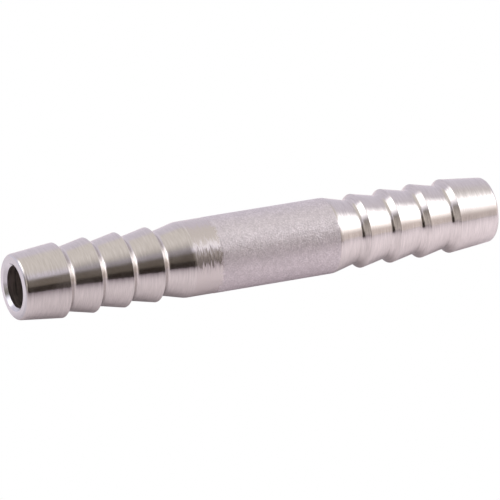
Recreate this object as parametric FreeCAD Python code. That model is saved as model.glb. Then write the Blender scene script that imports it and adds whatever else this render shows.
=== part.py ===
"""Straight hose joiner: one piece of stainless steel bar, turned to a barbed tail at each end and bored.

The axis of the joiner lies along X, with the origin halfway along it and +Z up. The left tail points to -X
and the right tail to +X. One tail's outline is worked out, the other is its mirror image, and the closed
outline of body, tails and bore is turned once about the X axis.
"""
import FreeCAD, Part
import math
import os

# Driving sizes, in millimetres.
bar_diameter = 10.0          # drawn bar, left as drawn on the middle of the body
body_length = 21.3           # full-size middle, between the two shoulders
shoulder_length = 3.42       # cone from the body down to the first groove of a tail
barb_count = 4               # barbs on each tail
barb_pitch = 4.4             # from one crest to the next
barb_back_length = 0.78      # steep back of a barb, measured along the axis
end_barb_length = 6.05       # from the last crest to the end face
crest_relief = 0.1           # the crests stay this far below the bar's surface, to let a sleeve pass
barb_height = 0.76           # from the bottom of a groove to a crest, measured on the radius
end_barb_fall = 0.63         # from the last crest to the tip, measured on the radius
skim_length = 4.2            # light skim cut over the body, next to the left shoulder
skim_depth = 0.03            # taken off the radius by the skim cut
skim_run_out = 0.15          # the skim cut fades out over this length
bore_diameter = 5.5          # drilled right through
mouth_countersink = 0.41     # depth of the 90 degree countersink at each mouth
end_edge_radius = 0.5        # rounding of the outer edge of an end face
mouth_edge_radius = 0.06     # broken inner edge of an end face
crest_radius = 0.06          # rounding of a crest
groove_radius = 0.6          # the tool's nose at the bottom of a groove
shoulder_radius = 2.4        # rounding where a shoulder meets the body

# Sizes that follow from them.
bar_radius = bar_diameter / 2
crest_radius_from_axis = bar_radius - crest_relief
groove_radius_from_axis = crest_radius_from_axis - barb_height
tip_radius_from_axis = crest_radius_from_axis - end_barb_fall
bore_radius = bore_diameter / 2
mouth_radius = bore_radius + mouth_countersink
skim_radius = bar_radius - skim_depth
first_groove = body_length / 2 + shoulder_length
last_crest = first_groove + barb_back_length + (barb_count - 1) * barb_pitch
half_length = last_crest + end_barb_length
skim_end = skim_length - body_length / 2

# A rounding takes at most this share of the shorter of the two straight runs that it joins.
LARGEST_SHARE = 0.45


def point(x, radius):
    """A point of the outline, from its place along the axis and its distance from the axis."""
    return FreeCAD.Vector(x, 0, radius)


def tail_corners():
    """Corners of the +X tail's outline, from shoulder to end face, as (x, radius, rounding)."""
    corners = [(body_length / 2, bar_radius, shoulder_radius)]
    for number in range(barb_count):
        groove = first_groove + number * barb_pitch
        corners.append((groove, groove_radius_from_axis, groove_radius))
        corners.append((groove + barb_back_length, crest_radius_from_axis, crest_radius))
    corners.append((half_length, tip_radius_from_axis, end_edge_radius))
    corners.append((half_length, mouth_radius, mouth_edge_radius))
    return corners


def left_tail_corners():
    """The same tail on the -X side, whose shoulder starts at the skimmed surface."""
    corners = [(-x, radius, rounding) for x, radius, rounding in tail_corners()]
    corners[0] = (-body_length / 2, skim_radius, shoulder_radius)
    return corners


def bore_corners():
    """Corners of the bore, from the right mouth to the left one."""
    bottom = half_length - mouth_countersink
    return [(bottom, bore_radius, 0), (-bottom, bore_radius, 0)]


def skim_corners():
    """Corners where the skim cut fades out into the drawn surface, from left to right."""
    return [(skim_end - skim_run_out, skim_radius, 0), (skim_end, bar_radius, 0)]


def rounded(before, corner, after, rounding):
    """Start, middle and end of the arc that rounds a corner, as large as the runs beside it allow."""
    back = before - corner
    ahead = after - corner
    half_angle = back.getAngle(ahead) / 2
    setback = min(rounding / math.tan(half_angle), LARGEST_SHARE * min(back.Length, ahead.Length))
    radius = setback * math.tan(half_angle)
    back.normalize()
    ahead.normalize()
    bisector = (back + ahead).normalize()
    middle = corner + bisector * (radius / math.sin(half_angle) - radius)
    return corner + back * setback, middle, corner + ahead * setback


def outline(corners):
    """Closed wire through the corners, with straight runs between them and an arc at each rounded one."""
    places = [point(x, radius) for x, radius, _ in corners]
    turns = []
    for index, (_, _, rounding) in enumerate(corners):
        corner = places[index]
        if rounding:
            turns.append(rounded(places[index - 1], corner, places[(index + 1) % len(places)], rounding))
        else:
            turns.append((corner, None, corner))
    edges = []
    for index, (start, middle, end) in enumerate(turns):
        if middle:
            edges.append(Part.Arc(start, middle, end).toShape())
        next_start = turns[(index + 1) % len(turns)][0]
        edges.append(Part.LineSegment(end, next_start).toShape())
    return Part.Wire(edges)


def joiner_body():
    """The whole joiner: its outline turned once about the axis."""
    upper = list(reversed(left_tail_corners())) + skim_corners() + tail_corners()
    section = Part.Face(outline(upper + bore_corners()))
    return section.revolve(FreeCAD.Vector(0, 0, 0), FreeCAD.Vector(1, 0, 0), 360)


nodes = {
    "barbed_joiner_body": joiner_body(),
}

os.makedirs("parts", exist_ok=True)
for name, shape in nodes.items():
    shape.exportStep(os.path.join("parts", name + ".step"))
    print(f"{name}: valid {shape.isValid()}, solids {len(shape.Solids)}, volume {shape.Volume:.1f} mm3")
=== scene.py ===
"""Barbed hose joiner: the looks of a turned stainless steel joiner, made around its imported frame.

The joiner is one piece of bar. Its outline, from the same sizes as the design, is turned round the X axis into
one closed surface. Each stretch of the outline gets the finish that its tool left: fine turned tails, a skim
cut and the drawn surface of the bar on the body, faced ends, countersunk mouths and a drilled bore.
"""

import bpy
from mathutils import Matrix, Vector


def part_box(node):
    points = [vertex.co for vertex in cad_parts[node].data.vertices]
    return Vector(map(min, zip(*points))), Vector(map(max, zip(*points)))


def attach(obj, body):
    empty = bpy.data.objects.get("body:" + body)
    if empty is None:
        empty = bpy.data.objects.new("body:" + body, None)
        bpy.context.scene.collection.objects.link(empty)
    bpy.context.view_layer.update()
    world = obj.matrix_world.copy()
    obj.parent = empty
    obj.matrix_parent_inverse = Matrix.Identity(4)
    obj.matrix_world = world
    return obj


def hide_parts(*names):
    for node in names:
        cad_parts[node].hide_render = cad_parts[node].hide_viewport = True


bl_info = {
    "name": "Barbed Hose Joiner",
    "version": (1, 0, 0),
    "blender": (4, 5, 0),
    "location": "3D Viewport > Sidebar > Joiner",
    "description": "Makes a turned stainless steel hose joiner and a pale table to show it on",
    "category": "Add Mesh",
}

import math

import bpy
import numpy as np
from mathutils import Vector

MM = 0.001
NODE = "barbed_joiner_body"

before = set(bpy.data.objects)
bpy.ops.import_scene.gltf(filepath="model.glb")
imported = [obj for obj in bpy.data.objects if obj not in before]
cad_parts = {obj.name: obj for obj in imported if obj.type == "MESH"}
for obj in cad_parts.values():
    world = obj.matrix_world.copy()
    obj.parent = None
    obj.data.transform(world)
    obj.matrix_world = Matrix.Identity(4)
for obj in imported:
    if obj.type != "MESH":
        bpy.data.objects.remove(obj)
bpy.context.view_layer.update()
BODY_LOW, BODY_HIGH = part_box(NODE)


# ---------------------------------------------------------------- sizes and colours that a user may change


def length(name, description, default):
    """A length property in metres, shown in the scene's units."""
    return bpy.props.FloatProperty(
        name=name, description=description, default=default, min=0.0, unit="LENGTH", precision=5
    )


def angle(name, description, default):
    """An angle property, given in degrees and kept in radians."""
    return bpy.props.FloatProperty(
        name=name, description=description, default=math.radians(default), subtype="ANGLE", unit="ROTATION"
    )


def share(name, description, default):
    """A property from 0 to 1."""
    return bpy.props.FloatProperty(
        name=name, description=description, default=default, min=0.0, max=1.0, subtype="FACTOR"
    )


def linear(hex_colour):
    """The linear red, green and blue of an sRGB colour written as #rrggbb."""
    srgb = np.array([int(hex_colour[i : i + 2], 16) for i in (1, 3, 5)]) / 255
    return tuple(np.where(srgb <= 0.04045, srgb / 12.92, ((srgb + 0.055) / 1.055) ** 2.4).tolist())


def colour(name, description, default):
    """A colour property, given as an sRGB hex value."""
    return bpy.props.FloatVectorProperty(
        name=name, description=description, default=linear(default), size=3, min=0.0, max=1.0, subtype="COLOR"
    )


class JoinerShape(bpy.types.PropertyGroup):
    """Sizes of the turned outline. The two overall ones come from the frame."""

    half_length: length("Half length", "From the middle to an end face", BODY_HIGH[0])
    bar_radius: length("Bar radius", "Drawn bar, as left on the body", BODY_HIGH[2])
    body_length: length("Body length", "Between the two shoulders", 21.3 * MM)
    shoulder_length: length("Shoulder", "Cone from the body to the first groove", 3.42 * MM)
    barb_count: bpy.props.IntProperty(name="Barbs", description="Barbs on each tail", default=4, min=1)
    barb_pitch: length("Barb pitch", "From one crest to the next", 4.4 * MM)
    barb_back: length("Barb back", "Steep back of a barb, along the axis", 0.78 * MM)
    crest_relief: length("Crest relief", "How far the crests stay below the bar's surface", 0.1 * MM)
    barb_height: length("Barb height", "From a groove to a crest, on the radius", 0.76 * MM)
    end_barb_fall: length("End barb fall", "From the last crest to the tip, on the radius", 0.63 * MM)
    skim_length: length("Skim cut", "Light cut over the left end of the body", 4.2 * MM)
    skim_depth: length("Skim depth", "Taken off the radius by the skim cut", 0.03 * MM)
    skim_run_out: length("Skim run-out", "The skim cut fades out over this length", 0.15 * MM)
    bore_radius: length("Bore radius", "Drilled right through", 2.75 * MM)
    countersink: length("Countersink", "Depth of the 90 degree countersink at each mouth", 0.41 * MM)
    end_edge: length("End edge", "Rounding of the outer edge of an end face", 0.5 * MM)
    mouth_edge: length("Mouth edge", "Broken inner edge of an end face", 0.06 * MM)
    crest_edge: length("Crest edge", "Rounding of a crest", 0.06 * MM)
    groove_root: length("Groove root", "The tool's nose at the bottom of a groove", 0.6 * MM)
    shoulder_edge: length("Shoulder edge", "Rounding where a shoulder meets the body", 2.4 * MM)
    ring_step: length("Ring step", "Longest step between rings of the mesh", 1.2 * MM)
    segments: bpy.props.IntProperty(name="Segments", description="Steps round the axis", default=192, min=24)


class JoinerFinish(bpy.types.PropertyGroup):
    """Colours and roughness of the five finishes."""

    turned_colour: colour("Turned steel", "Fine turned stainless steel of the tails", "#d1cdca")
    turned_roughness: share("Turned roughness", "Of the tails", 0.2)
    drawn_colour: colour("Drawn bar", "Matte surface that drawing left on the bar", "#d3ced0")
    drawn_roughness: share("Drawn roughness", "Of the drawn bar", 0.58)
    skim_colour: colour("Skim cut", "Half-bright skim cut over the drawn bar", "#ccc7c4")
    skim_roughness: share("Skim roughness", "Of the skim cut", 0.25)
    bore_colour: colour("Drilled bore", "Torn, oily brown-grey wall of the drilled hole", "#b9b0aa")
    bore_roughness: share("Bore roughness", "Of the drilled hole", 0.42)
    face_colour: colour("Faced end", "Faced ends and countersunk mouths", "#d3d4d6")
    face_roughness: share("Face roughness", "Of the ends", 0.22)


class JoinerStudio(bpy.types.PropertyGroup):
    """The camera's place, aim and lens."""

    azimuth: angle("Azimuth", "Camera's turn about the vertical, from looking along +Y", -26.0)
    elevation: angle("Elevation", "Camera's height above the horizon", 19.85)
    distance: length("Distance", "Camera to the joiner's middle", 780 * MM)
    lens: bpy.props.FloatProperty(name="Lens", description="Focal length", default=432.0, unit="CAMERA")
    aim_left: length("Aim left", "How far left of the middle the camera looks", 0.39 * MM)
    aim_below: length("Aim below", "How far below the middle the camera looks", 0.30 * MM)


# ---------------------------------------------------------------- the turned surface

# Finishes of the joiner's surface, in the order of its material slots.
TURNED, DRAWN, BORE, FACE, MOUTH = range(5)

ARC_POINTS = 7
# A rounding takes at most this share of the shorter of the two straight runs that it joins.
LARGEST_SHARE = 0.45
# Rings this close to the ends of a straight run, or this share of it if that is less, keep the shading of the
# arcs beside it off the run.
CLOSE_RING = 0.02 * MM
LARGEST_CLOSE_SHARE = 0.3
# Edges that turn by more than this are shaded sharp.
SHARP_ANGLE = math.radians(25)


def rounded_corner(before, corner, after, rounding):
    """Points of the arc that rounds a corner: it touches both runs, its centre lies on the line that halves the
    corner, and its points are spaced evenly in angle from the first touching point to the second."""
    back = before - corner
    ahead = after - corner
    shorter = min(np.hypot(*back), np.hypot(*ahead))
    back = back / np.hypot(*back)
    ahead = ahead / np.hypot(*ahead)
    half_angle = math.acos(float(np.clip(back @ ahead, -1, 1))) / 2
    setback = min(rounding / math.tan(half_angle), LARGEST_SHARE * shorter)
    radius = setback * math.tan(half_angle)
    towards_centre = (back + ahead) / np.hypot(*(back + ahead))
    centre = corner + towards_centre * radius / math.sin(half_angle)
    sweep = math.pi / 2 - half_angle
    turn = np.linspace(-sweep, sweep, ARC_POINTS)[:, None]
    across = np.array([-towards_centre[1], towards_centre[0]])
    across = across * np.sign(across @ ahead)
    return centre - towards_centre * radius * np.cos(turn) + across * radius * np.sin(turn)


def outline_corners(shape):
    """Corners of the closed outline, from the left shoulder to the right mouth and back through the bore, as
    (x, radius, rounding, finish of the run that follows)."""
    crest = shape.bar_radius - shape.crest_relief
    groove = crest - shape.barb_height
    tip = crest - shape.end_barb_fall
    mouth = shape.bore_radius + shape.countersink
    shoulder = shape.body_length / 2
    tail = [(shoulder, shape.bar_radius, shape.shoulder_edge, TURNED)]
    for number in range(shape.barb_count):
        x = shoulder + shape.shoulder_length + number * shape.barb_pitch
        tail.append((x, groove, shape.groove_root, TURNED))
        tail.append((x + shape.barb_back, crest, shape.crest_edge, TURNED))
    tail.append((shape.half_length, tip, shape.end_edge, FACE))
    tail.append((shape.half_length, mouth, shape.mouth_edge, MOUTH))
    inside = [
        (shape.half_length - shape.countersink, shape.bore_radius, 0.0, BORE),
        (shape.countersink - shape.half_length, shape.bore_radius, 0.0, MOUTH),
    ]
    skimmed = shape.bar_radius - shape.skim_depth
    skim_end = shape.skim_length - shoulder
    body = [
        (skim_end - shape.skim_run_out, skimmed, 0.0, DRAWN),
        (skim_end, shape.bar_radius, 0.0, DRAWN),
    ]
    finishes = [FACE] + [TURNED] * (len(tail) - 2) + [DRAWN]
    mirrored = [(-x, radius, edge) for x, radius, edge, _ in reversed(tail)]
    left = [(*corner, finish) for corner, finish in zip(mirrored, finishes)]
    left[-1] = (-shoulder, skimmed, shape.shoulder_edge, DRAWN)
    return left + body + tail + inside


def outline(shape):
    """Places (x, radius) along the whole closed outline, and the finish of the stretch after each place."""
    corners = outline_corners(shape)
    places = [np.array(corner[:2]) for corner in corners]
    arcs = []
    for index, (_, _, rounding, _) in enumerate(corners):
        corner = places[index]
        if rounding > 0:
            after = places[(index + 1) % len(places)]
            arcs.append(rounded_corner(places[index - 1], corner, after, rounding))
        else:
            arcs.append(corner[None, :])
    stretches = []
    finishes = []
    for index, arc in enumerate(arcs):
        start, end = arc[-1], arcs[(index + 1) % len(arcs)][0]
        run = np.hypot(*(end - start))
        steps = max(1, math.ceil(run / shape.ring_step))
        close = min(CLOSE_RING / run, LARGEST_CLOSE_SHARE)
        along = np.unique(np.concatenate([[close, 1 - close], np.arange(1, steps) / steps]))[:, None]
        stretches.append(np.vstack([arc, start + (end - start) * along]))
        before, after = corners[index - 1][3], corners[index][3]
        # The tool that turned a tail also rounded its shoulder, so the whole rounding has the tail's finish.
        if (before, after) == (DRAWN, TURNED):
            switch = 0
        elif (before, after) == (TURNED, DRAWN):
            switch = len(arc)
        else:
            switch = len(arc) // 2
        finishes += [before] * switch + [after] * (len(stretches[-1]) - switch)
    return np.vstack(stretches), np.array(finishes)


def turned_mesh(name, shape):
    """The closed outline turned round the X axis: a point at place s and angle a is (x(s), r(s) cos a,
    r(s) sin a). Both s and a wrap round, so the surface is closed, with no pole and no seam."""
    places, finishes = outline(shape)
    around = np.linspace(0, 2 * np.pi, shape.segments, endpoint=False)
    x = np.broadcast_to(places[:, :1], (len(places), shape.segments))
    y = places[:, 1:] * np.cos(around)
    z = places[:, 1:] * np.sin(around)
    points = np.stack([x, y, z], axis=-1).reshape(-1, 3)

    # Each face joins two neighbouring points of a ring to the same two of the next ring.
    numbers = np.arange(len(points)).reshape(len(places), shape.segments)
    next_ring = np.roll(numbers, -1, axis=0)
    faces = np.stack(
        [numbers, np.roll(numbers, -1, axis=1), np.roll(next_ring, -1, axis=1), next_ring], axis=-1
    ).reshape(-1, 4)

    mesh = bpy.data.meshes.new(name)
    mesh.from_pydata(points.tolist(), [], faces.tolist())
    mesh.polygons.foreach_set("material_index", np.repeat(finishes, shape.segments).astype(np.int32))
    mesh.polygons.foreach_set("use_smooth", np.ones(len(faces), dtype=bool))

    # U runs once round the joiner from 0 to 1, and V along the outline in millimetres, so that the grain of the
    # turned metal can follow U.
    steps = np.hypot(*np.diff(places, axis=0, append=places[:1]).T)
    along = np.concatenate([[0], np.cumsum(steps)]) / MM
    u = np.arange(shape.segments + 1) / shape.segments
    u_low, v_low = np.broadcast_arrays(u[None, :-1], along[:-1, None])
    u_high, v_high = np.broadcast_arrays(u[None, 1:], along[1:, None])
    corners_u = np.stack([u_low, u_high, u_high, u_low], axis=-1)
    corners_v = np.stack([v_low, v_low, v_high, v_high], axis=-1)
    uv = np.stack([corners_u, corners_v], axis=-1).reshape(-1)
    mesh.uv_layers.new(name="turning").data.foreach_set("uv", uv.astype(np.float32))
    mesh.update()
    mesh.set_sharp_from_angle(angle=SHARP_ANGLE)
    return mesh


# ---------------------------------------------------------------- materials

# How far the normal leans to either side, the way that U runs, at a turning mark and at a mark of the skim cut:
# half the swing of the red channel in a normal map.
RING_LEAN = 0.008
SKIM_LEAN = 0.06
# The skim cut's finish reaches at most this far past the end of the cut. Patches of the surface pull its edge
# back by up to the second length, and it fades over the third on either side.
SKIM_EDGE_PAST = 0.4 * MM
SKIM_EDGE_WANDER = 1.1 * MM
SKIM_EDGE_FADE = 0.15 * MM


def add(tree, kind, inputs=None, **settings):
    """Adds a node of this kind, with its settings. An input is given as a value, or as (node, output) to link.
    A Mix node's sockets go by number: input 0 is the factor, 2 and 3 are numbers and 6 and 7 colours, and
    output 0 is the mixed number and 2 the mixed colour."""
    node = tree.nodes.new(kind)
    for key, value in settings.items():
        setattr(node, key, value)
    for key, value in (inputs or {}).items():
        if isinstance(value, tuple) and isinstance(value[0], bpy.types.Node):
            tree.links.new(value[0].outputs[value[1]], node.inputs[key])
        else:
            node.inputs[key].default_value = value
    return node


def new_material(name):
    """An empty material and its node tree."""
    material = bpy.data.materials.new(name)
    material.use_nodes = True
    material.node_tree.nodes.clear()
    return material, material.node_tree


def rgba(colour_value, factor=1.0):
    """A colour with full alpha, brightened or darkened by factor."""
    return (*[min(1.0, channel * factor) for channel in colour_value], 1.0)


def turned_steel(finish):
    """Stainless steel turned with a fine feed, on the tails. The tool leaves a groove as fine as a hair round
    the work, so light is smeared along the axis and stays sharp round it, and single rings lean a little."""
    material, tree = new_material("turned_stainless_steel")
    place = add(tree, "ShaderNodeTexCoord")
    # Feed marks are about 0.08 mm apart and run on for about 2 mm. They are drawn 0.12 mm apart, to show.
    rings = add(tree, "ShaderNodeMapping", {"Vector": (place, "Object"), "Scale": (8000, 500, 500)})
    marks = add(
        tree, "ShaderNodeTexNoise", {"Vector": (rings, 0), "Scale": 1.0, "Detail": 2.0, "Roughness": 0.6}
    )
    lean = add(
        tree, "ShaderNodeMapRange",
        {"Value": (marks, 0), "From Min": 0.3, "From Max": 0.7,
         "To Min": 0.5 - RING_LEAN, "To Max": 0.5 + RING_LEAN},
    )
    sideways = add(tree, "ShaderNodeCombineXYZ", {"X": (lean, 0), "Y": 0.5, "Z": 1.0})
    leaning = add(tree, "ShaderNodeNormalMap", {"Color": (sideways, 0)}, uv_map="turning")
    # Handling wears it in patches of about 3 mm.
    wear = add(tree, "ShaderNodeTexNoise", {"Vector": (place, "Object"), "Scale": 350.0, "Detail": 2.0})
    dull = add(tree, "ShaderNodeMapRange", {"Value": (marks, 0), "From Min": 0.3, "From Max": 0.7})
    shade = add(
        tree, "ShaderNodeMix",
        {"Factor": (dull, 0), 6: rgba(finish.turned_colour, 0.89), 7: rgba(finish.turned_colour, 1.07)},
        data_type="RGBA",
    )
    gloss = add(
        tree, "ShaderNodeMapRange",
        {"Value": (wear, 0), "From Min": 0.3, "From Max": 0.7,
         "To Min": finish.turned_roughness - 0.03, "To Max": finish.turned_roughness + 0.04},
    )
    grain = add(tree, "ShaderNodeTangent", direction_type="UV_MAP", uv_map="turning")
    steel = add(
        tree, "ShaderNodeBsdfPrincipled",
        {"Base Color": (shade, 2), "Metallic": 1.0, "Roughness": (gloss, 0), "Anisotropic": 0.85,
         "Anisotropic Rotation": 0.25, "Normal": (leaning, 0), "Tangent": (grain, 0)},
    )
    add(tree, "ShaderNodeOutputMaterial", {"Surface": (steel, 0)})
    return material


def drawn_bar(finish, shape):
    """Cold drawn stainless bar, pickled matte: a fine pitted grain with smooth flats that glint, fine scratches
    across it, and the half-bright skim cut over its left end. The skim cut only touches the high spots at its
    end, so its edge is uneven."""
    material, tree = new_material("drawn_bar_with_skim_cut")
    place = add(tree, "ShaderNodeTexCoord")
    # Pits of about 0.05 mm are drawn at 0.2 mm, so that they show.
    pits = add(
        tree, "ShaderNodeTexNoise",
        {"Vector": (place, "Object"), "Scale": 4800.0, "Detail": 2.0, "Roughness": 0.6},
    )
    # The skim cut's feed marks of about 0.1 mm are drawn 0.17 mm apart, and last about 1 mm round the joiner.
    across = add(tree, "ShaderNodeMapping", {"Vector": (place, "Object"), "Scale": (6000, 900, 900)})
    scratches = add(tree, "ShaderNodeTexNoise", {"Vector": (across, 0), "Scale": 1.0, "Detail": 2.0})
    split = add(tree, "ShaderNodeSeparateXYZ", {"Vector": (place, "Object")})
    # Patches of about 0.7 mm, where the surface is a little higher or lower.
    ragged = add(tree, "ShaderNodeTexNoise", {"Vector": (place, "Object"), "Scale": 1500.0, "Detail": 4.0})
    wander = add(
        tree, "ShaderNodeMath", {0: (ragged, 0), 1: SKIM_EDGE_WANDER, 2: (split, "X")}, operation="MULTIPLY_ADD"
    )
    edge = shape.skim_length - shape.body_length / 2 + SKIM_EDGE_PAST
    matte = add(
        tree, "ShaderNodeMapRange",
        {"Value": (wander, 0), "From Min": edge - SKIM_EDGE_FADE, "From Max": edge + SKIM_EDGE_FADE},
        interpolation_type="SMOOTHSTEP",
    )
    grainy = add(tree, "ShaderNodeMapRange", {"Value": (pits, 0), "From Min": 0.3, "From Max": 0.7})
    cloudy = add(
        tree, "ShaderNodeMapRange",
        {"Value": (ragged, 0), "From Min": 0.35, "From Max": 0.65, "To Min": -0.25, "To Max": 0.25},
    )
    mottled = add(tree, "ShaderNodeMath", {0: (grainy, 0), 1: (cloudy, 0)}, operation="ADD", use_clamp=True)
    tone = add(
        tree, "ShaderNodeMix",
        {"Factor": (mottled, 0), 6: rgba(finish.drawn_colour, 0.87), 7: rgba(finish.drawn_colour, 1.11)},
        data_type="RGBA",
    )
    shade = add(
        tree, "ShaderNodeMix", {"Factor": (matte, 0), 6: rgba(finish.skim_colour), 7: (tone, 2)},
        data_type="RGBA",
    )
    flats = add(
        tree, "ShaderNodeMapRange",
        {"Value": (pits, 0), "From Min": 0.55, "From Max": 0.65,
         "To Min": finish.drawn_roughness, "To Max": finish.drawn_roughness - 0.3},
    )
    rough = add(
        tree, "ShaderNodeMix", {0: (matte, 0), 2: finish.skim_roughness, 3: (flats, 0)}, data_type="FLOAT"
    )
    # The pits scatter part of the light every way.
    metal = add(tree, "ShaderNodeMapRange", {"Value": (matte, 0), "To Min": 1.0, "To Max": 0.78})
    lean = add(
        tree, "ShaderNodeMapRange",
        {"Value": (scratches, 0), "From Min": 0.3, "From Max": 0.7,
         "To Min": 0.5 - SKIM_LEAN, "To Max": 0.5 + SKIM_LEAN},
    )
    sideways = add(tree, "ShaderNodeCombineXYZ", {"X": (lean, 0), "Y": 0.5, "Z": 1.0})
    leaning = add(tree, "ShaderNodeNormalMap", {"Color": (sideways, 0)}, uv_map="turning")
    pitted = add(
        tree, "ShaderNodeBump",
        {"Height": (pits, 0), "Strength": (matte, 0), "Distance": 0.075 * MM, "Normal": (leaning, 0)},
    )
    grain = add(tree, "ShaderNodeTangent", direction_type="UV_MAP", uv_map="turning")
    steel = add(
        tree, "ShaderNodeBsdfPrincipled",
        {"Base Color": (shade, 2), "Metallic": (metal, 0), "Roughness": (rough, 0), "Anisotropic": 0.6,
         "Anisotropic Rotation": 0.25, "Normal": (pitted, 0), "Tangent": (grain, 0)},
    )
    add(tree, "ShaderNodeOutputMaterial", {"Surface": (steel, 0)})
    return material


def drilled_steel(finish):
    """The drilled hole: the drill's lips tear the metal into coarse rings, which hold a brown film of oil."""
    material, tree = new_material("drilled_stainless_steel")
    place = add(tree, "ShaderNodeTexCoord")
    # Torn rings of about 0.2 mm are drawn 0.4 mm apart, so that they show in the dark.
    rings = add(tree, "ShaderNodeMapping", {"Vector": (place, "Object"), "Scale": (2600, 260, 260)})
    torn = add(
        tree, "ShaderNodeTexNoise", {"Vector": (rings, 0), "Scale": 1.0, "Detail": 4.0, "Roughness": 0.7}
    )
    film = add(tree, "ShaderNodeMapRange", {"Value": (torn, 0), "From Min": 0.35, "From Max": 0.65})
    shade = add(
        tree, "ShaderNodeMix",
        {"Factor": (film, 0), 6: rgba(finish.bore_colour, 0.45), 7: rgba(finish.bore_colour, 1.3)},
        data_type="RGBA",
    )
    bump = add(tree, "ShaderNodeBump", {"Height": (torn, 0), "Strength": 0.8, "Distance": 0.03 * MM})
    steel = add(
        tree, "ShaderNodeBsdfPrincipled",
        {"Base Color": (shade, 2), "Metallic": 1.0, "Roughness": finish.bore_roughness, "Normal": (bump, 0)},
    )
    add(tree, "ShaderNodeOutputMaterial", {"Surface": (steel, 0)})
    return material


def faced_steel(finish, name, marks_per_mm):
    """Faced ends and countersunk mouths. The tool's marks run round the axis, so they depend on the distance
    from it and on the place along it. They are drawn about twice as coarse as real ones."""
    material, tree = new_material(name)
    place = add(tree, "ShaderNodeTexCoord")
    split = add(tree, "ShaderNodeSeparateXYZ", {"Vector": (place, "Object")})
    across = add(tree, "ShaderNodeCombineXYZ", {"Y": (split, "Y"), "Z": (split, "Z")})
    radius = add(tree, "ShaderNodeVectorMath", {0: (across, 0)}, operation="LENGTH")
    where = add(tree, "ShaderNodeCombineXYZ", {"X": (radius, "Value"), "Y": (split, "X")})
    marks = add(tree, "ShaderNodeTexNoise", {"Vector": (where, 0), "Scale": marks_per_mm / MM, "Detail": 3.0})
    shade = add(
        tree, "ShaderNodeMix",
        {"Factor": (marks, 0), 6: rgba(finish.face_colour, 0.9), 7: rgba(finish.face_colour, 1.08)},
        data_type="RGBA",
    )
    bump = add(tree, "ShaderNodeBump", {"Height": (marks, 0), "Strength": 0.5, "Distance": 0.004 * MM})
    steel = add(
        tree, "ShaderNodeBsdfPrincipled",
        {"Base Color": (shade, 2), "Metallic": 1.0, "Roughness": finish.face_roughness, "Normal": (bump, 0)},
    )
    add(tree, "ShaderNodeOutputMaterial", {"Surface": (steel, 0)})
    return material


# ---------------------------------------------------------------- operators


class JOINER_OT_body(bpy.types.Operator):
    """Makes the joiner's one piece, with a finish for each stretch of its surface"""

    bl_idname = "joiner.body"
    bl_label = "Joiner Body"

    def execute(self, context):
        shape = context.scene.joiner_shape
        finish = context.scene.joiner_finish
        mesh = turned_mesh("turned_joiner", shape)
        for material in (
            turned_steel(finish),
            drawn_bar(finish, shape),
            drilled_steel(finish),
            faced_steel(finish, "faced_stainless_steel", 9),
            faced_steel(finish, "countersunk_stainless_steel", 5),
        ):
            mesh.materials.append(material)
        piece = bpy.data.objects.new("turned_joiner", mesh)
        context.scene.collection.objects.link(piece)
        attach(piece, "root")
        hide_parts(NODE)
        return {"FINISHED"}


class JOINER_OT_studio(bpy.types.Operator):
    """Makes the pale table, the light round it and the camera"""

    bl_idname = "joiner.studio"
    bl_label = "Table, Light and Camera"

    def execute(self, context):
        studio = context.scene.joiner_studio
        make_camera(context.scene, studio)
        make_table(context.scene)
        make_surroundings(context.scene)
        make_softboxes(context.scene)
        context.scene.view_settings.view_transform = "Standard"
        return {"FINISHED"}


def make_camera(scene, studio):
    """Camera on a long lens, at its angles round the joiner's middle, aimed a little beside it."""
    a, e = studio.azimuth, studio.elevation
    back = Vector((math.sin(a) * math.cos(e), -math.cos(a) * math.cos(e), math.sin(e)))
    turn = (-back).to_track_quat("-Z", "Y")
    middle = (BODY_LOW + BODY_HIGH) / 2
    aim = middle - turn @ Vector((studio.aim_left, studio.aim_below, 0))
    data = bpy.data.cameras.new("camera")
    data.lens = studio.lens
    camera = bpy.data.objects.new("camera", data)
    camera.location = aim + back * studio.distance
    camera.rotation_mode = "QUATERNION"
    camera.rotation_quaternion = turn
    scene.collection.objects.link(camera)
    scene.camera = camera


TABLE_SIZE = 2400 * MM
TABLE_FRONT = 57 * MM
# Painted shade: the table's painted glow fades and its colour darkens towards its front left corner: full glow
# until this far that way, and then fading.
GLOW_FADES = (8 * MM, 48 * MM)
GLOW_FADES_TOWARDS = (-0.35, -0.94, 0.0)
# Strength of the painted glow: the table gives off light round the joiner, though it is no lamp.
GLOW = 0.35
# Share of the painted glow from one place to another: a painted shadow beneath the joiner, painted light that
# fades out to its side, and more painted light towards its right end.
SHADE_BENEATH = (1.5 * MM, 4.5 * MM, 0.42, 1.0)
LIGHT_BESIDE = (6 * MM, 26 * MM, 1.0, 0.5)
LIGHT_RIGHT = (6 * MM, 20 * MM, 0.9, 1.4)
TABLE_TOP = "#dcd6da"
# The corner colour is painted shade towards the table's front left corner.
TABLE_CORNER = "#a0989e"
# Tint of the painted glow.
TABLE_GLOW = "#fff4fb"


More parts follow.
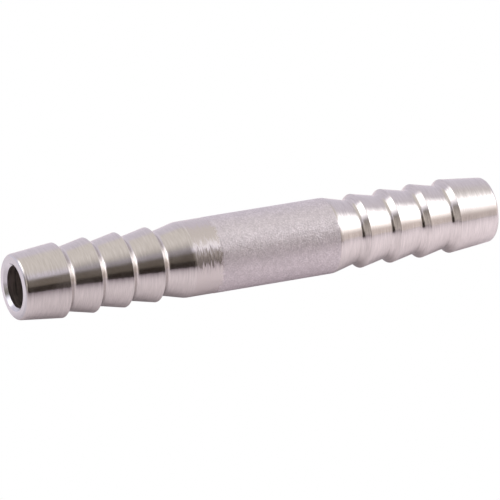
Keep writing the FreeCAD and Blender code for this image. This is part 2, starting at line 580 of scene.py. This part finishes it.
def make_table(scene):
    """A pale table under the joiner, with its front edge close to it. The camera sees it over-exposed to
    plain white, and the metal mirrors a pale top with painted light on it: a painted glow round the joiner, a
    painted shadow beneath it and painted shade towards its front left corner."""
    half = TABLE_SIZE / 2
    low = BODY_LOW[2]
    corners = [(-half, -TABLE_FRONT, low), (half, -TABLE_FRONT, low), (half, half, low), (-half, half, low)]
    mesh = bpy.data.meshes.new("table")
    mesh.from_pydata(corners, [], [(0, 1, 2, 3)])
    material, tree = new_material("pale_table_with_painted_glow")
    place = add(tree, "ShaderNodeTexCoord")
    away = add(
        tree, "ShaderNodeVectorMath", {0: (place, "Object"), 1: GLOW_FADES_TOWARDS}, operation="DOT_PRODUCT"
    )
    # Painted shade towards the front left corner: it darkens the table's colour and fades its painted glow.
    dim = add(
        tree, "ShaderNodeMapRange",
        {"Value": (away, "Value"), "From Min": GLOW_FADES[0], "From Max": GLOW_FADES[1]},
        interpolation_type="SMOOTHSTEP",
    )
    top = add(
        tree, "ShaderNodeMix", {"Factor": (dim, 0), 6: rgba(linear(TABLE_TOP)), 7: rgba(linear(TABLE_CORNER))},
        data_type="RGBA",
    )
    matte = add(tree, "ShaderNodeBsdfDiffuse", {"Color": (top, 2)})
    split = add(tree, "ShaderNodeSeparateXYZ", {"Vector": (place, "Object")})
    beside = add(tree, "ShaderNodeMath", {0: (split, "Y")}, operation="ABSOLUTE")
    strength = add(tree, "ShaderNodeMapRange", {"Value": (dim, 0), "To Min": GLOW, "To Max": 0.0})
    # Painted shadow beneath the joiner and painted light beside it and towards its right end, as shares of the
    # painted glow.
    changes = (((beside, 0), SHADE_BENEATH), ((beside, 0), LIGHT_BESIDE), ((split, "X"), LIGHT_RIGHT))
    for value, (start, end, low_share, high_share) in changes:
        factor = add(
            tree, "ShaderNodeMapRange",
            {"Value": value, "From Min": start, "From Max": end, "To Min": low_share, "To Max": high_share},
            interpolation_type="SMOOTHSTEP",
        )
        strength = add(tree, "ShaderNodeMath", {0: (strength, 0), 1: (factor, 0)}, operation="MULTIPLY")
    # The painted glow, with its painted shadow and painted light, added to the table's diffuse surface.
    glow = add(tree, "ShaderNodeEmission", {"Color": rgba(linear(TABLE_GLOW)), "Strength": (strength, 0)})
    lit = add(tree, "ShaderNodeAddShader", {0: (matte, 0), 1: (glow, 0)})
    white = add(tree, "ShaderNodeEmission", {"Strength": 1.0})
    path = add(tree, "ShaderNodeLightPath")
    seen = add(tree, "ShaderNodeMixShader", {0: (path, "Is Camera Ray"), 1: (lit, 0), 2: (white, 0)})
    add(tree, "ShaderNodeOutputMaterial", {"Surface": (seen, 0)})
    mesh.materials.append(material)
    table = bpy.data.objects.new("table", mesh)
    scene.collection.objects.link(table)


ROOM_WALLS = "#ece5f2"
# Areas of the room, each laid over the ones before it: its colour, then the turns from the front towards the
# right between which it fades in and out again, and its heights above the horizon likewise, all in degrees.
ROOM_AREAS = (
    ("ceiling", "#f0e9e4", (-200, -190, 190, 200), (42, 60, 100, 110)),
    ("right wall", "#f8e9e4", (28, 38, 95, 120), (-100, -95, 16, 34)),
    ("left wall", "#e3d8d2", (-70, -64, -30, -18), (-100, -95, 26, 40)),
    ("left door", "#777063", (-100, -92, -70, -66), (-6, -2, 26, 31)),
    ("front wall", "#7c7269", (-30, -18, 27, 35), (-100, -95, 30, 42)),
    ("camera stand", "#50473f", (-34, -24, -4, 10), (-100, -95, 38, 80)),
    ("dark strip", "#251c15", (-48, -40, 14, 30), (-100, -95, 9, 16)),
)


def make_surroundings(scene):
    """The room as the metal mirrors it, by direction. The camera sees plain white."""
    world = bpy.data.worlds.new("room")
    world.use_nodes = True
    tree = world.node_tree
    tree.nodes.clear()
    direction = add(tree, "ShaderNodeTexCoord")
    split = add(tree, "ShaderNodeSeparateXYZ", {"Vector": (direction, "Generated")})
    height = add(tree, "ShaderNodeMath", {0: (split, "Z")}, operation="ARCSINE")
    front = add(tree, "ShaderNodeMath", {0: (split, "Y"), 1: -1.0}, operation="MULTIPLY")
    turn = add(tree, "ShaderNodeMath", {0: (split, "X"), 1: (front, 0)}, operation="ARCTAN2")
    painted = rgba(linear(ROOM_WALLS))
    for _, hex_colour, turns, heights in ROOM_AREAS:
        edges = []
        for value, (fade_in, full, full_until, faded) in ((turn, turns), (height, heights)):
            for outside, inside in ((fade_in, full), (faded, full_until)):
                edges.append(add(
                    tree, "ShaderNodeMapRange",
                    {"Value": (value, 0), "From Min": math.radians(outside), "From Max": math.radians(inside)},
                    interpolation_type="SMOOTHSTEP",
                ))
        here = edges[0]
        for edge in edges[1:]:
            here = add(tree, "ShaderNodeMath", {0: (here, 0), 1: (edge, 0)}, operation="MULTIPLY")
        layer = add(
            tree, "ShaderNodeMix", {"Factor": (here, 0), 6: painted, 7: rgba(linear(hex_colour))},
            data_type="RGBA",
        )
        painted = (layer, 2)
    path = add(tree, "ShaderNodeLightPath")
    seen = add(
        tree, "ShaderNodeMix",
        {"Factor": (path, "Is Camera Ray"), 6: painted, 7: (1.0, 1.0, 1.0, 1.0)}, data_type="RGBA",
    )
    light = add(tree, "ShaderNodeBackground", {"Color": (seen, 2)})
    add(tree, "ShaderNodeOutputWorld", {"Surface": (light, 0)})
    scene.world = world


# Softboxes: turn from the front towards the right, height above the horizon, width, height and radiance.
SOFTBOXES = {
    "right_softbox": (66, 32, 560 * MM, 450 * MM, 2.25),
    "left_softbox": (-103, 49, 560 * MM, 430 * MM, 2.0),
}
SOFTBOX_DISTANCE = 500 * MM
# The cloth's light fades between these shares of its size, counted from the middle, where 0.5 is its edge.
CLOTH_FADES = (0.5, 0.08)


def make_softboxes(scene):
    """A softbox on each side, above the table. Its cloth is brightest in the middle and fades to its edge."""
    for name, (turn, height, width, tall, radiance) in SOFTBOXES.items():
        a, e = math.radians(turn), math.radians(height)
        towards = Vector((math.sin(a) * math.cos(e), -math.cos(a) * math.cos(e), math.sin(e)))
        data = bpy.data.lights.new(name, "AREA")
        data.shape = "RECTANGLE"
        data.size = width
        data.size_y = tall
        data.energy = radiance * math.pi * width * tall
        data.use_nodes = True
        tree = data.node_tree
        tree.nodes.clear()
        place = add(tree, "ShaderNodeNewGeometry")
        centred = add(
            tree, "ShaderNodeVectorMath", {0: (place, "Parametric"), 1: (0.5, 0.5, 0.5)}, operation="SUBTRACT"
        )
        out = add(tree, "ShaderNodeVectorMath", {0: (centred, 0)}, operation="ABSOLUTE")
        split = add(tree, "ShaderNodeSeparateXYZ", {"Vector": (out, 0)})
        furthest = add(tree, "ShaderNodeMath", {0: (split, "X"), 1: (split, "Y")}, operation="MAXIMUM")
        fade = add(
            tree, "ShaderNodeMapRange",
            {"Value": (furthest, 0), "From Min": CLOTH_FADES[0], "From Max": CLOTH_FADES[1]},
            interpolation_type="SMOOTHSTEP",
        )
        cloth = add(tree, "ShaderNodeEmission", {"Strength": (fade, 0)})
        add(tree, "ShaderNodeOutputLight", {"Surface": (cloth, 0)})
        softbox = bpy.data.objects.new(name, data)
        softbox.location = towards * SOFTBOX_DISTANCE
        softbox.rotation_mode = "QUATERNION"
        softbox.rotation_quaternion = (-towards).to_track_quat("-Z", "Y")
        softbox.visible_camera = False
        scene.collection.objects.link(softbox)


class JOINER_PT_panel(bpy.types.Panel):
    """Lists the joiner's operators and sizes"""

    bl_label = "Barbed Hose Joiner"
    bl_idname = "JOINER_PT_panel"
    bl_space_type = "VIEW_3D"
    bl_region_type = "UI"
    bl_category = "Joiner"

    def draw(self, context):
        column = self.layout.column()
        for operator in (JOINER_OT_body, JOINER_OT_studio):
            column.operator(operator.bl_idname)
        for group in (context.scene.joiner_shape, context.scene.joiner_finish, context.scene.joiner_studio):
            box = self.layout.box()
            for name in group.bl_rna.properties.keys():
                if name not in ("rna_type", "name"):
                    box.prop(group, name)


CLASSES = (JoinerShape, JoinerFinish, JoinerStudio, JOINER_OT_body, JOINER_OT_studio, JOINER_PT_panel)


def register():
    """Registers the classes, and puts the three groups of properties on the scene."""
    for cls in CLASSES:
        bpy.utils.register_class(cls)
    bpy.types.Scene.joiner_shape = bpy.props.PointerProperty(type=JoinerShape)
    bpy.types.Scene.joiner_finish = bpy.props.PointerProperty(type=JoinerFinish)
    bpy.types.Scene.joiner_studio = bpy.props.PointerProperty(type=JoinerStudio)


def unregister():
    """Takes the properties off the scene and the classes out again."""
    del bpy.types.Scene.joiner_shape
    del bpy.types.Scene.joiner_finish
    del bpy.types.Scene.joiner_studio
    for cls in reversed(CLASSES):
        bpy.utils.unregister_class(cls)


def main():
    """Makes everything in order."""
    register()
    bpy.ops.joiner.body()
    bpy.ops.joiner.studio()


if __name__ == "__main__":
    main()
